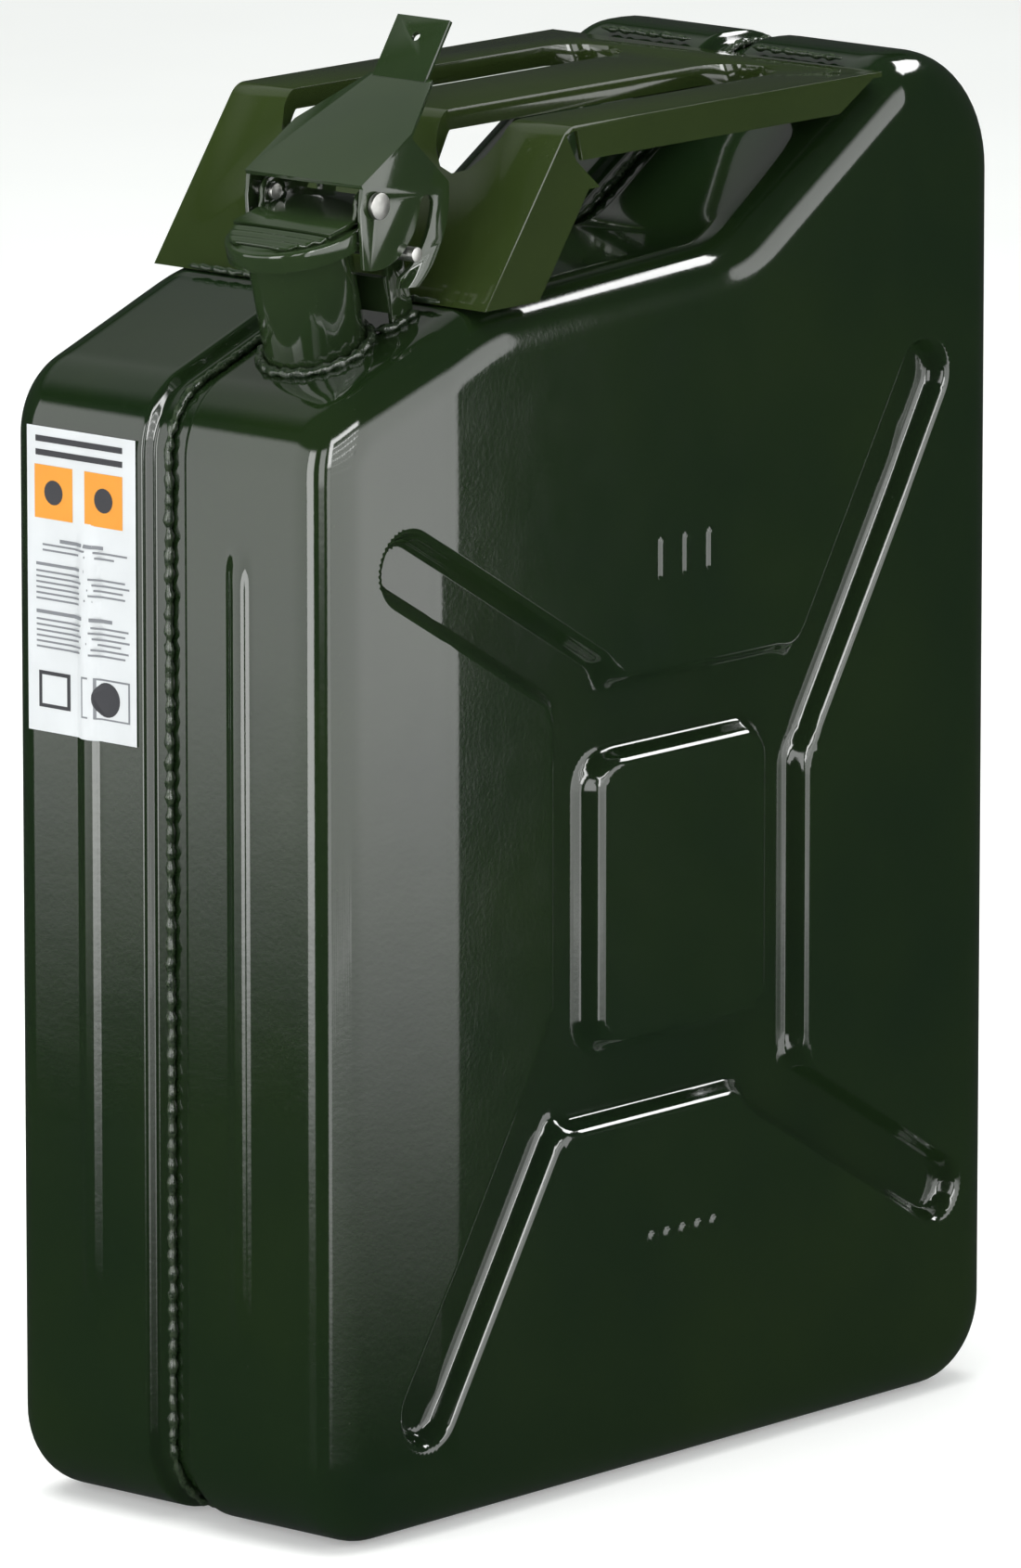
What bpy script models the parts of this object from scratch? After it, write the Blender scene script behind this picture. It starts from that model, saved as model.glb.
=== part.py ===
"""Twenty-litre steel fuel can: two pressed half shells, a pressed three-grip handle,
and a cam-lever closure on a short tilted neck.

Frame: +Z up, origin under the middle of the body, front (spout) end at -X.
"front distance" u runs back from the front face, so x = u - BODY_LENGTH / 2.
"""
import math

import bmesh
import bpy
from mathutils import Vector

# ---------------------------------------------------------------- driving sizes (metres)
BODY_LENGTH = 0.345
BODY_THICKNESS = 0.150
BODY_HEIGHT = 0.470
SHEET = 0.0012            # steel sheet of the shells
GAP = 0.0003              # clearance between touching pieces

# side outline of the body: front distance, height, corner radius
SHOULDER_START = (0.0, 0.382, 0.028)
SHOULDER_END = (0.080, 0.411, 0.080)
VALLEY_END = (0.205, 0.418, 0.045)
HUMP_FRONT = (0.288, BODY_HEIGHT, 0.025)
HUMP_REAR_RADIUS = 0.044
FOOT_RADIUS = 0.030
CORNER_STEPS = 6

EDGE_RADIUS = 0.017       # roll between broad face and side walls
EDGE_STEPS = 4
CHANNEL_HALF_WIDTH = 0.010
CHANNEL_DEPTH = 0.004
CHANNEL_WALL = 0.0035
SEAM_BEAD_RADIUS = 0.0016

# pressed pattern of the broad faces
PRESS_CENTRE = (0.175, 0.201)
PRESS_DEPTH = 0.007
PRESS_WALL = 0.004
RING_HALF = (0.066, 0.077)
RING_RADIUS = 0.016
PAD_HALF = (0.049, 0.053)
PAD_RADIUS = 0.014
PAD_WALL = 0.008
ARM_WIDTH = 0.027
SHALLOW_ARM = ((-0.047, 0.075), (-0.136, 0.1275))
STEEP_ARM = ((0.060, 0.050), (0.127, 0.158))
RIB_OFFSET = 0.0335       # pressed ribs of the narrow front face
RIB_WIDTH = 0.011
RIB_HEIGHT = 0.0018
RIB_SPAN = (0.060, 0.338)

# neck, on the near half of the shoulder
NECK_U = 0.041
NECK_Y = -0.031
NECK_RADIUS = 0.0173
NECK_WALL = 0.0015
NECK_DEPTH = 0.006        # below the shoulder
NECK_HEIGHT = 0.039
NECK_TILT = math.radians(14.0)
LIP_RADIUS = 0.0195
LIP_DROP = 0.0025
WELD_RADIUS = 0.0015
BREATHER_RADIUS = 0.0035

# closure, in the neck's frame: along the shoulder, across, along the neck
HINGE = (0.0253, 0.0273)
PIVOT = (0.0131, 0.0490)
PIN_RADIUS = 0.0025
PIN_CLEARANCE = 0.0003
PIN_HALF = 0.0285
CAP_RADIUS = 0.0235
CAP_WALL = 0.0015
CAP_SKIRT = 0.0365        # height of the skirt's lower edge
CAP_TOP = 0.044
GASKET_THICKNESS = 0.003
GASKET_INNER = 0.011
RETAINER_RADIUS = 0.0135
RETAINER_THICKNESS = 0.0015
STUD_RADIUS = 0.0023
YOKE_SHEET = 0.0015
YOKE_HALF = 0.0215
YOKE_FRONT = -0.006
YOKE_REAR = 0.026
YOKE_CHEEK = 0.013        # inner face of the hinge cheeks
BRACKET_CHEEK = 0.016
BRACKET_SHEET = 0.002
LEVER_SHEET = 0.0016
LEVER_CHEEK = 0.0242      # inner face of the lever's cheeks
LEVER_FRONT = (-0.0048, 0.0074)
LEVER_REAR = (0.0490, 0.0230)
LEVER_REAR_HALF = 0.0135
LEVER_TAPER_START = 0.022
TAB_TIP = (0.0650, 0.0385)
TAB_HALF = 0.0115
TAB_HOLE = 0.0017
HOOK_OUTER = 0.036
HOOK_CLEARANCE = 0.0008
HOOK_TIP_ANGLE = -79.0
SLOT_END_ANGLE = -20.0
RIVET_HEAD = 0.0045
RIVET_SHANK_END = 0.0027

# pressed handle
HANDLE_HALF = 0.074
HANDLE_SHEET = 0.0018
HANDLE_TOP = 0.4665
HANDLE_FOOT_U = 0.076
HANDLE_BEND_U = 0.117
HANDLE_BEND_RADIUS = 0.008
SLOT_OFFSET = 0.0345
SLOT_HALF = 0.0155
SLOT_FRONT_U = 0.104
SLOT_REAR_U = 0.262
LIP_DEPTH = 0.007
TOP_FLANGE = 0.012
FRONT_FLANGE = 0.022
NOTCH_HALF = 0.005

# printed label on the far half of the front face
LABEL_Y = (0.012, 0.061)
LABEL_Z = (0.264, 0.367)
LABEL_THICKNESS = 0.0004

# ---------------------------------------------------------------- collections, materials
for old in list(bpy.data.objects):
    bpy.data.objects.remove(old, do_unlink=True)

parts = bpy.data.collections.new("fuel_can")
cutters = bpy.data.collections.new("cutters")
for collection in (parts, cutters):
    bpy.context.scene.collection.children.link(collection)


def material(name, colour, roughness, metallic):
    made = bpy.data.materials.new(name)
    made.use_nodes = True
    shader = made.node_tree.nodes["Principled BSDF"]
    shader.inputs["Base Color"].default_value = (*colour, 1.0)
    shader.inputs["Roughness"].default_value = roughness
    shader.inputs["Metallic"].default_value = metallic
    return made


ENAMEL = material("olive_enamel", (0.035, 0.065, 0.028), 0.18, 0.0)
BARE_STEEL = material("bare_steel", (0.55, 0.55, 0.54), 0.35, 1.0)
RUBBER = material("gasket_rubber", (0.03, 0.03, 0.03), 0.80, 0.0)
PAPER = material("label_film", (0.85, 0.85, 0.83), 0.40, 0.0)


# ---------------------------------------------------------------- mesh helpers
def add_object(name, mesh, finish=None):
    """Put a mesh in the parts collection, or among the cutters when it has no finish."""
    made = bpy.data.objects.new(name, mesh)
    if finish is None:
        cutters.objects.link(made)
        made.hide_render = True
        made.display_type = "WIRE"
    else:
        parts.objects.link(made)
        mesh.materials.append(finish)
    return made


def from_bmesh(name, work, finish=None):
    bmesh.ops.recalc_face_normals(work, faces=work.faces)
    mesh = bpy.data.meshes.new(name)
    work.to_mesh(mesh)
    work.free()
    return add_object(name, mesh, finish)


def loft(name, loops, finish=None):
    """Closed solid through loops of equal point counts."""
    work = bmesh.new()
    rows = [[work.verts.new(point) for point in loop] for loop in loops]
    for first, second in zip(rows, rows[1:]):
        for i in range(len(first)):
            j = (i + 1) % len(first)
            work.faces.new((first[i], first[j], second[j], second[i]))
    work.faces.new(rows[0])
    work.faces.new(rows[-1])
    return from_bmesh(name, work, finish)


def ring(name, profile, steps, finish=None):
    """Turned ring about local Z from a closed (radius, height) outline, off the axis."""
    work = bmesh.new()
    rows = []
    for k in range(steps):
        turn = 2 * math.pi * k / steps
        rows.append([work.verts.new((r * math.cos(turn), r * math.sin(turn), h)) for r, h in profile])
    for k in range(steps):
        first, second = rows[k], rows[(k + 1) % steps]
        for i in range(len(profile)):
            j = (i + 1) % len(profile)
            work.faces.new((first[i], first[j], second[j], second[i]))
    return from_bmesh(name, work, finish)


def cylinder(name, radius, start, end, steps=24, finish=None):
    """Cylinder between two points."""
    start, end = Vector(start), Vector(end)
    work = bmesh.new()
    bmesh.ops.create_cone(work, cap_ends=True, segments=steps, radius1=radius, radius2=radius,
                          depth=(end - start).length)
    turn = (end - start).to_track_quat("Z", "Y").to_matrix().to_4x4()
    turn.translation = (start + end) / 2
    bmesh.ops.transform(work, matrix=turn, verts=work.verts)
    return from_bmesh(name, work, finish)


def box(name, low, high, finish=None):
    work = bmesh.new()
    bmesh.ops.create_cube(work, size=1.0)
    for vert in work.verts:
        for axis in range(3):
            vert.co[axis] = high[axis] if vert.co[axis] > 0 else low[axis]
    return from_bmesh(name, work, finish)


def plate(name, outline, low, high, finish=None):
    """Flat (x, z) outline extruded across from y = low to y = high."""
    loops = [[(x, y, z) for x, z in outline] for y in (low, high)]
    return loft(name, loops, finish)


def combine(target, others, operation):
    """Apply Boolean modifiers of the other solids to the target's mesh."""
    for other in others:
        step = target.modifiers.new(other.name, "BOOLEAN")
        step.operation = operation
        step.solver = "EXACT"
        step.object = other
    bpy.context.view_layer.update()
    graph = bpy.context.evaluated_depsgraph_get()
    mesh = bpy.data.meshes.new_from_object(target.evaluated_get(graph))
    target.modifiers.clear()
    target.data = mesh
    return target


def smooth(target, angle=32.0):
    target.data.shade_smooth()
    target.data.set_sharp_from_angle(angle=math.radians(angle))
    return target


def arc(centre, radius, start, end, steps):
    """Points of an arc, angles in degrees."""
    turns = [math.radians(start + (end - start) * k / steps) for k in range(steps + 1)]
    return [(centre[0] + radius * math.cos(t), centre[1] + radius * math.sin(t)) for t in turns]


def rounded_outline(corners, inset=0.0, steps=CORNER_STEPS):
    """Points of a counter-clockwise outline with round corners, moved inwards by inset."""
    count = len(corners)
    points = []
    for i, (x, z, radius) in enumerate(corners):
        here = Vector((x, z))
        before = Vector(corners[i - 1][:2])
        after = Vector(corners[(i + 1) % count][:2])
        along = (here - before).normalized()
        onward = (after - here).normalized()
        turn = math.atan2(along.cross(onward), along.dot(onward))
        half = turn / 2
        inward = Vector((-along.y, along.x)) + Vector((-onward.y, onward.x))
        vertex = here + inward.normalized() * (inset / math.cos(half))
        bend = max(radius - math.copysign(inset, turn), 0.001)
        reach = bend * abs(math.tan(half))
        side = math.copysign(1.0, turn)
        centre = vertex - along * reach + Vector((-along.y, along.x)) * bend * side
        spoke = (vertex - along * reach) - centre
        for k in range(steps + 1):
            swing = turn * k / steps
            points.append((centre.x + spoke.x * math.cos(swing) - spoke.y * math.sin(swing),
                           centre.y + spoke.x * math.sin(swing) + spoke.y * math.cos(swing)))
    return points


def stadium(start, end, half_width, steps=8):
    """Slot outline with round ends between two points."""
    heading = math.degrees(math.atan2(end[1] - start[1], end[0] - start[0]))
    return (arc(end, half_width, heading - 90, heading + 90, steps)
            + arc(start, half_width, heading + 90, heading + 270, steps))


# ---------------------------------------------------------------- body shells
def body_x(front_distance):
    return front_distance - BODY_LENGTH / 2


BODY_CORNERS = [
    (body_x(0), 0.0, FOOT_RADIUS),
    (body_x(BODY_LENGTH), 0.0, FOOT_RADIUS),
    (body_x(BODY_LENGTH), BODY_HEIGHT, HUMP_REAR_RADIUS),
    (body_x(HUMP_FRONT[0]), HUMP_FRONT[1], HUMP_FRONT[2]),
    (body_x(VALLEY_END[0]), VALLEY_END[1], VALLEY_END[2]),
    (body_x(SHOULDER_END[0]), SHOULDER_END[1], SHOULDER_END[2]),
    (body_x(SHOULDER_START[0]), SHOULDER_START[1], SHOULDER_START[2]),
]
SHOULDER_ANGLE = math.atan2(SHOULDER_END[1] - SHOULDER_START[1], SHOULDER_END[0] - SHOULDER_START[0])


def shoulder_height(front_distance):
    return SHOULDER_START[1] + math.tan(SHOULDER_ANGLE) * (front_distance - SHOULDER_START[0])


def half_solid(name, side, inner):
    """Solid of one half body; the inner one is smaller by the sheet and runs past the seam."""
    skin = SHEET if inner else 0.0
    channel = CHANNEL_HALF_WIDTH + skin
    half = BODY_THICKNESS / 2 - skin
    bend = EDGE_RADIUS - skin
    seam_edge = -0.002 if inner else GAP / 2
    sections = [(seam_edge, CHANNEL_DEPTH + skin), (channel - CHANNEL_WALL, CHANNEL_DEPTH + skin),
                (channel, skin)]
    for k in range(EDGE_STEPS + 1):
        turn = math.pi / 2 * k / EDGE_STEPS
        sections.append((half - bend * (1 - math.sin(turn)), skin + bend * (1 - math.cos(turn))))
    loops = [[(x, side * y, z) for x, z in rounded_outline(BODY_CORNERS, inset)] for y, inset in sections]
    return loft(name, loops)


def face_cutter(name, side, grow, outline):
    """Tapered cutter into a broad face; outline(extra) is the shape that much wider."""
    face = BODY_THICKNESS / 2
    slope = PRESS_WALL / PRESS_DEPTH
    margin = 0.002
    levels = [(face + margin, slope * margin), (face - PRESS_DEPTH - grow, -PRESS_WALL - slope * grow)]
    loops = [[(x, side * y, z) for x, z in outline(extra + grow)] for y, extra in levels]
    return loft(name, loops)


def press_point(offset):
    """A point of the pattern, which lies at the same place on both broad faces."""
    return (body_x(PRESS_CENTRE[0]) + offset[0], PRESS_CENTRE[1] + offset[1])


def rectangle(half, radius, extra):
    cx, cz = press_point((0, 0))
    hx, hz = half[0] + extra, half[1] + extra
    corners = [(cx - hx, cz - hz), (cx + hx, cz - hz), (cx + hx, cz + hz), (cx - hx, cz + hz)]
    return rounded_outline([(x, z, max(radius + extra, 0.002)) for x, z in corners], steps=4)


def pad_solid(name, side, grow):
    """Raised square left standing inside the ring."""
    face = BODY_THICKNESS / 2
    slope = PAD_WALL / PRESS_DEPTH
    margin = 0.003
    levels = [(face - PRESS_DEPTH - margin, slope * margin), (face + margin, -PAD_WALL - slope * margin)]
    shrink = grow * 1.5
    loops = [[(x, side * y, z) for x, z in rectangle(PAD_HALF, PAD_RADIUS, extra - shrink)]
             for y, extra in levels]
    return loft(name, loops)


def press_cutters(tag, side, grow):
    ring_cutter = face_cutter(tag + "_ring", side, grow,
                              lambda extra: rectangle(RING_HALF, RING_RADIUS, extra))
    combine(ring_cutter, [pad_solid(tag + "_pad", side, grow)], "DIFFERENCE")
    made = [ring_cutter]
    for turn in (1, -1):
        for label, arm in (("shallow", SHALLOW_ARM), ("steep", STEEP_ARM)):
            start, end = [press_point((turn * p[0], turn * p[1])) for p in arm]
            made.append(face_cutter("%s_%s_arm_%d" % (tag, label, turn), side, grow,
                                    lambda extra, s=start, e=end: stadium(s, e, ARM_WIDTH / 2 + extra)))
    return made


def rib_solid(name, side, grow):
    """Vertical rib of the front face, fatter by grow."""
    half = RIB_WIDTH / 2 + grow
    low, high = RIB_SPAN[0] + RIB_WIDTH / 2, RIB_SPAN[1] - RIB_WIDTH / 2
    centre = side * RIB_OFFSET
    front = body_x(0)
    levels = [(front + 0.004, half + 0.001), (front - RIB_HEIGHT - grow, half - 0.002)]
    loops = [[(x, y, z) for z, y in stadium((low, centre), (high, centre), width)]
             for x, width in levels]
    return loft(name, loops)


def neck_point(along, across, up):
    """World place of a point given in the neck's frame."""
    sine, cosine = math.sin(NECK_TILT), math.cos(NECK_TILT)
    return (body_x(NECK_U) + along * cosine - up * sine, NECK_Y + across,
            shoulder_height(NECK_U) + along * sine + up * cosine)


def make_shell(name, side):
    outer = half_solid(name, side, False)
    cutters.objects.unlink(outer)
    parts.objects.link(outer)
    outer.hide_render = False
    outer.display_type = "TEXTURED"
    inner = half_solid(name + "_inside", side, True)
    combine(outer, press_cutters(name + "_out", side, 0.0), "DIFFERENCE")
    combine(outer, [rib_solid(name + "_rib", side, 0.0)], "UNION")
    combine(inner, press_cutters(name + "_in", side, SHEET), "DIFFERENCE")
    combine(inner, [rib_solid(name + "_rib_inside", side, -SHEET)], "UNION")
    holes = [inner]
    if side * NECK_Y > 0:
        holes.append(cylinder(name + "_neck_hole", NECK_RADIUS + GAP,
                              neck_point(0, 0, -0.02), neck_point(0, 0, 0.02), 32))
    combine(outer, holes, "DIFFERENCE")
    outer.data.materials.clear()
    outer.data.materials.append(ENAMEL)
    return smooth(outer)


make_shell("left_shell", -1)
make_shell("right_shell", 1)


def tube_loop(name, points, radius, sides, finish, closed=True):
    """Round bead or tube along a path, with flat ends when it is open."""
    curve = bpy.data.curves.new(name, "CURVE")
    curve.dimensions = "3D"
    curve.bevel_depth = radius
    curve.bevel_resolution = sides
    curve.use_fill_caps = not closed
    spline = curve.splines.new("POLY")
    spline.points.add(len(points) - 1)
    for target, point in zip(spline.points, points):
        target.co = (*point, 1.0)
    spline.use_cyclic_u = closed
    made = bpy.data.objects.new(name, curve)
    curve.materials.append(finish)
    parts.objects.link(made)
    return made


def as_mesh(curve_object):
    """Turn a curve object into a welded mesh object."""
    bpy.context.view_layer.update()
    graph = bpy.context.evaluated_depsgraph_get()
    mesh = bpy.data.meshes.new_from_object(curve_object.evaluated_get(graph))
    name = curve_object.name
    finish = curve_object.data.materials[0]
    bpy.data.objects.remove(curve_object, do_unlink=True)
    work = bmesh.new()
    work.from_mesh(mesh)
    bmesh.ops.remove_doubles(work, verts=work.verts, dist=0.00001)
    mesh.materials.clear()
    return smooth(from_bmesh(name, work, finish))


def seam_path():
    rise = CHANNEL_DEPTH - SEAM_BEAD_RADIUS - 2 * GAP
    return [(x, 0.0, z) for x, z in rounded_outline(BODY_CORNERS, rise)]


as_mesh(tube_loop("seam_weld", seam_path(), SEAM_BEAD_RADIUS, 1, ENAMEL))


# ---------------------------------------------------------------- neck
neck_frame = bpy.data.objects.new("neck_frame", None)
parts.objects.link(neck_frame)
neck_frame.location = neck_point(0, 0, 0)
neck_frame.rotation_euler = (0.0, -NECK_TILT, 0.0)


def attach(child, parent, axis=(0.0, 0.0)):
    """Parent a solid drawn in the neck's frame; its origin moves to the (along, up) axis."""
    offset = Vector((axis[0], 0.0, axis[1]))
    for vert in child.data.vertices:
        vert.co -= offset
    child.parent = parent
    return child


NECK_STEPS = 32
attach(smooth(ring("neck_tube", [
    (NECK_RADIUS, -NECK_DEPTH), (NECK_RADIUS, NECK_HEIGHT - LIP_DROP), (LIP_RADIUS, NECK_HEIGHT - LIP_DROP),
    (LIP_RADIUS, NECK_HEIGHT - 0.0006), (LIP_RADIUS - 0.0006, NECK_HEIGHT),
    (NECK_RADIUS - NECK_WALL, NECK_HEIGHT), (NECK_RADIUS - NECK_WALL, -NECK_DEPTH)],
    NECK_STEPS, ENAMEL)), neck_frame)

FOOT_SLOPE = SHOULDER_ANGLE - NECK_TILT      # the shoulder's rise in the neck's frame


def on_shoulder(along, across, up):
    """A point over the shoulder's surface, given in the neck's frame."""
    sine, cosine = math.sin(FOOT_SLOPE), math.cos(FOOT_SLOPE)
    return (along * cosine - up * sine, across, along * sine + up * cosine)


weld_path = [on_shoulder(x, y, WELD_RADIUS + GAP)
             for x, y in arc((0, 0), NECK_RADIUS + WELD_RADIUS + 2 * GAP, 0, 360, NECK_STEPS)[:-1]]
attach(as_mesh(tube_loop("neck_weld", weld_path, WELD_RADIUS, 1, ENAMEL)), neck_frame)


# ---------------------------------------------------------------- hinge bracket and pin
BRACKET_FRONT = HINGE[0] - 0.0060
BRACKET_WEB = (0.0075, 0.0200)       # lower and upper edge of the web behind the neck


def bracket_cheek(y):
    """One upright of the bracket: foot on the shoulder, round eye at the pin."""
    eye = arc(HINGE, 0.0045, -20, 200, 10)
    foot = [(BRACKET_FRONT, on_shoulder(BRACKET_FRONT, 0, GAP)[2]),
            (HINGE[0] + 0.0045, on_shoulder(HINGE[0] + 0.0045, 0, GAP)[2])]
    return plate("bracket_cheek", eye + foot, y, y + BRACKET_SHEET)


bracket = plate("hinge_bracket",
                [(BRACKET_FRONT, BRACKET_WEB[0]), (BRACKET_FRONT + BRACKET_SHEET, BRACKET_WEB[0]),
                 (BRACKET_FRONT + BRACKET_SHEET, BRACKET_WEB[1]), (BRACKET_FRONT, BRACKET_WEB[1])],
                -BRACKET_CHEEK - 0.001, BRACKET_CHEEK + 0.001, ENAMEL)
combine(bracket, [bracket_cheek(BRACKET_CHEEK), bracket_cheek(-BRACKET_CHEEK - BRACKET_SHEET)], "UNION")
combine(bracket, [cylinder("bracket_bore", PIN_RADIUS + PIN_CLEARANCE, (HINGE[0], -0.03, HINGE[1]),
                           (HINGE[0], 0.03, HINGE[1]), 20)], "DIFFERENCE")
attach(bracket, neck_frame)

attach(smooth(cylinder("hinge_pin", PIN_RADIUS, (HINGE[0], -PIN_HALF, HINGE[1]),
                       (HINGE[0], PIN_HALF, HINGE[1]), 20, BARE_STEEL)), neck_frame)

# ---------------------------------------------------------------- lid
lid_axis = bpy.data.objects.new("lid_axis", None)
parts.objects.link(lid_axis)
lid_axis.parent = neck_frame
lid_axis.location = (HINGE[0], 0.0, HINGE[1])

GASKET_BOTTOM = NECK_HEIGHT + GAP
GASKET_TOP = GASKET_BOTTOM + GASKET_THICKNESS
CAP_UNDERSIDE = GASKET_TOP + GAP
STUD_TOP = CAP_TOP - 0.001

cap = ring("lid_cap", [
    (STUD_RADIUS + GAP, CAP_UNDERSIDE), (CAP_RADIUS - CAP_WALL, CAP_UNDERSIDE),
    (CAP_RADIUS - CAP_WALL, CAP_SKIRT), (CAP_RADIUS, CAP_SKIRT), (CAP_RADIUS, CAP_TOP - 0.0025),
    (CAP_RADIUS - 0.0008, CAP_TOP - 0.0008), (CAP_RADIUS - 0.0025, CAP_TOP),
    (STUD_RADIUS + GAP, CAP_TOP)], NECK_STEPS, ENAMEL)
attach(smooth(cap), lid_axis, HINGE)

attach(smooth(ring("lid_gasket", [
    (GASKET_INNER, GASKET_BOTTOM), (LIP_RADIUS + 0.0015, GASKET_BOTTOM),
    (LIP_RADIUS + 0.0015, GASKET_TOP), (GASKET_INNER, GASKET_TOP)], NECK_STEPS, RUBBER)), lid_axis, HINGE)

RETAINER_TOP = GASKET_BOTTOM - GAP
attach(smooth(ring("gasket_retainer", [
    (STUD_RADIUS + GAP, RETAINER_TOP - RETAINER_THICKNESS),
    (RETAINER_RADIUS, RETAINER_TOP - RETAINER_THICKNESS),
    (RETAINER_RADIUS, RETAINER_TOP), (STUD_RADIUS + GAP, RETAINER_TOP)], NECK_STEPS, BARE_STEEL)),
    lid_axis, HINGE)

STUD_HEAD_TOP = RETAINER_TOP - RETAINER_THICKNESS - GAP
stud = cylinder("retainer_rivet", STUD_RADIUS, (0, 0, STUD_HEAD_TOP - 0.001), (0, 0, STUD_TOP), 20,
                BARE_STEEL)
combine(stud, [cylinder("stud_head", STUD_RADIUS * 2, (0, 0, STUD_HEAD_TOP - 0.0016),
                        (0, 0, STUD_HEAD_TOP), 20)], "UNION")
attach(smooth(stud), lid_axis, HINGE)

# yoke: plate over the cap, ears up to the lever's pivot, cheeks down to the hinge
YOKE_BOTTOM = CAP_TOP + GAP
YOKE_TOP = YOKE_BOTTOM + YOKE_SHEET
EYE = 0.005


def yoke_ear(y):
    sweep = arc(PIVOT, EYE, 0, 180, 10)
    foot = [(PIVOT[0] - 0.007, YOKE_BOTTOM + 0.0002), (PIVOT[0] + 0.007, YOKE_BOTTOM + 0.0002)]
    return plate("yoke_ear", sweep + foot, y, y + YOKE_SHEET)


def yoke_cheek(y):
    sweep = arc(HINGE, EYE, -150, 30, 12)
    top = [(YOKE_REAR - 0.0003, YOKE_TOP - 0.0002), (YOKE_REAR - 0.0052, YOKE_TOP - 0.0002)]
    return plate("yoke_cheek", sweep + top, y, y + BRACKET_SHEET)


yoke = box("lid_yoke", (YOKE_FRONT, -YOKE_HALF, YOKE_BOTTOM), (YOKE_REAR, YOKE_HALF, YOKE_TOP), ENAMEL)
combine(yoke, [yoke_ear(-YOKE_HALF), yoke_ear(YOKE_HALF - YOKE_SHEET),
               yoke_cheek(YOKE_CHEEK), yoke_cheek(-YOKE_CHEEK - BRACKET_SHEET)], "UNION")
combine(yoke, [cylinder("yoke_hinge_bore", PIN_RADIUS + PIN_CLEARANCE, (HINGE[0], -0.03, HINGE[1]),
                        (HINGE[0], 0.03, HINGE[1]), 20),
               cylinder("yoke_pivot_bore", STUD_RADIUS + PIN_CLEARANCE, (PIVOT[0], -0.03, PIVOT[1]),
                        (PIVOT[0], 0.03, PIVOT[1]), 20)], "DIFFERENCE")
attach(yoke, lid_axis, HINGE)

# ---------------------------------------------------------------- lever
lever_axis = bpy.data.objects.new("lever_axis", None)
parts.objects.link(lever_axis)
lever_axis.parent = lid_axis
lever_axis.location = (PIVOT[0] - HINGE[0], 0.0, PIVOT[1] - HINGE[1])

SLOT_RADIUS = math.dist(HINGE, PIVOT)
SLOT_INNER = SLOT_RADIUS - PIN_RADIUS - HOOK_CLEARANCE
SLOT_OUTER = SLOT_RADIUS + PIN_RADIUS + HOOK_CLEARANCE


def lever_point(offset):
    return (PIVOT[0] + offset[0], PIVOT[1] + offset[1])


def cheek_outline():
    """Sickle-shaped cheek with the hook slot that closes round the hinge pin."""
    slot_end = math.radians(SLOT_END_ANGLE)
    slot_centre = lever_point((SLOT_RADIUS * math.cos(slot_end), SLOT_RADIUS * math.sin(slot_end)))
    points = [lever_point(LEVER_FRONT), lever_point((-0.0075, 0.001))]
    points += arc(PIVOT, SLOT_INNER, -120, SLOT_END_ANGLE, 12)
    points += arc(slot_centre, PIN_RADIUS + HOOK_CLEARANCE, SLOT_END_ANGLE + 165, SLOT_END_ANGLE + 15, 6)
    points += arc(PIVOT, SLOT_OUTER, SLOT_END_ANGLE, HOOK_TIP_ANGLE, 8)
    points += arc(PIVOT, (SLOT_OUTER + HOOK_OUTER) / 2 - 0.001, HOOK_TIP_ANGLE - 4, HOOK_TIP_ANGLE - 3.9, 1)
    points += arc(PIVOT, HOOK_OUTER, HOOK_TIP_ANGLE + 10, -8, 8)
    rise = (LEVER_REAR[1] - LEVER_FRONT[1]) / (LEVER_REAR[0] - LEVER_FRONT[0])
    taper_height = LEVER_FRONT[1] + rise * (LEVER_TAPER_START - LEVER_FRONT[0])
    points.append(lever_point((LEVER_TAPER_START, taper_height)))
    return points


def lever_strip(start, end, thickness):
    """Side outline of a flat strip standing on the line from start to end."""
    along = Vector((end[0] - start[0], end[1] - start[1])).normalized()
    rise = Vector((-along.y, along.x)) * thickness
    return [start, end, (end[0] + rise.x, end[1] + rise.y), (start[0] + rise.x, start[1] + rise.y)]


LEVER_HALF = LEVER_CHEEK + LEVER_SHEET
lever = plate("closure_lever", lever_strip(lever_point(LEVER_FRONT), lever_point(LEVER_REAR), LEVER_SHEET),
              -LEVER_HALF, LEVER_HALF, ENAMEL)
tapers = []
for side in (-1, 1):
    corners = [(PIVOT[0] + LEVER_TAPER_START, side * (LEVER_HALF + 0.001)),
               (PIVOT[0] + LEVER_TAPER_START, side * (LEVER_HALF + 0.0001)),
               (PIVOT[0] + LEVER_REAR[0], side * LEVER_REAR_HALF),
               (PIVOT[0] + LEVER_REAR[0] + 0.005, side * LEVER_REAR_HALF),
               (PIVOT[0] + LEVER_REAR[0] + 0.005, side * (LEVER_HALF + 0.001))]
    tapers.append(loft("lever_taper_%d" % side, [[(x, y, z) for x, y in corners] for z in (0.03, 0.12)]))
combine(lever, tapers, "DIFFERENCE")
combine(lever, [plate("cheek_left", cheek_outline(), -LEVER_HALF, -LEVER_CHEEK),
                plate("cheek_right", cheek_outline(), LEVER_CHEEK, LEVER_HALF),
                plate("tab", lever_strip(lever_point((LEVER_REAR[0] - 0.001, LEVER_REAR[1])),
                                         lever_point(TAB_TIP), LEVER_SHEET), -TAB_HALF, TAB_HALF)], "UNION")
tab_middle = lever_point(((LEVER_REAR[0] + 2 * TAB_TIP[0]) / 3, (LEVER_REAR[1] + 2 * TAB_TIP[1]) / 3))
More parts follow.
